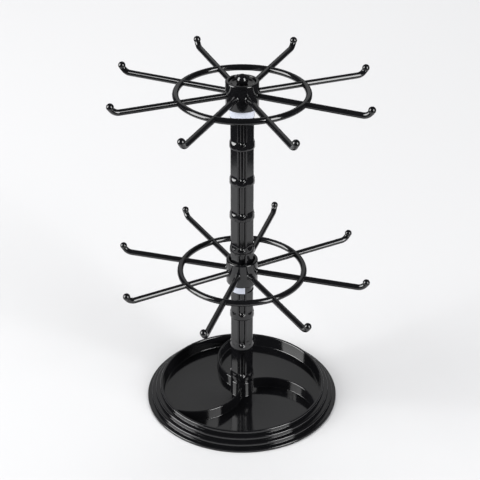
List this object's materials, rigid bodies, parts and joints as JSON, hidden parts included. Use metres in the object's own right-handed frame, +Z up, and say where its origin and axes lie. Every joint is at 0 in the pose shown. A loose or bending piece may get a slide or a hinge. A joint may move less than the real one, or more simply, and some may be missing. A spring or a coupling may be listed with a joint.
{
  "type": "two-tier revolving hook tree",
  "caption": "Tiered revolving hook tree: ball-tipped arms tied by rings turn on a fluted, knuckled pole that stands in a round stepped tray with swirled dividers.",
  "frame": {"origin": "centre of the tray's underside, on the plane that it stands on", "axes": "+Z up along the pole; -Y faces the viewer"},
  "size_m": [0.2224, 0.2224, 0.3248],
  "materials": {
    "gloss_black_plastic": "high gloss moulded",
    "zinc_plated_steel": "zinc plated",
    "natural_white_nylon": "satin moulded"
  },
  "bodies": {
    "stand": {"tray": "gloss_black_plastic", "base_washer": "zinc_plated_steel", "base_screw": "zinc_plated_steel", "lower_pole": "gloss_black_plastic", "upper_pole": "gloss_black_plastic", "finial_cap": "gloss_black_plastic", "lower_sleeve": "natural_white_nylon", "upper_sleeve": "natural_white_nylon"},
    "lower_tier": {"lower_hub": "gloss_black_plastic", "lower_ring": "gloss_black_plastic", "lower_arm_1": "gloss_black_plastic", "lower_arm_2": "gloss_black_plastic", "lower_arm_3": "gloss_black_plastic", "lower_arm_4": "gloss_black_plastic", "lower_arm_5": "gloss_black_plastic", "lower_arm_6": "gloss_black_plastic", "lower_arm_7": "gloss_black_plastic", "lower_arm_8": "gloss_black_plastic"},
    "upper_tier": {"upper_hub": "gloss_black_plastic", "upper_ring": "gloss_black_plastic", "upper_arm_1": "gloss_black_plastic", "upper_arm_2": "gloss_black_plastic", "upper_arm_3": "gloss_black_plastic", "upper_arm_4": "gloss_black_plastic", "upper_arm_5": "gloss_black_plastic", "upper_arm_6": "gloss_black_plastic", "upper_arm_7": "gloss_black_plastic", "upper_arm_8": "gloss_black_plastic"}
  },
  "joints": [
    {"name": "lower_tier_spin", "type": "hinge", "parent": "stand", "child": "lower_tier", "pos_m": [0, 0, 0.13675], "axis": [0, 0, 1], "continuous": true},
    {"name": "upper_tier_spin", "type": "hinge", "parent": "stand", "child": "upper_tier", "pos_m": [0, 0, 0.3075], "axis": [0, 0, 1], "continuous": true}
  ]
}
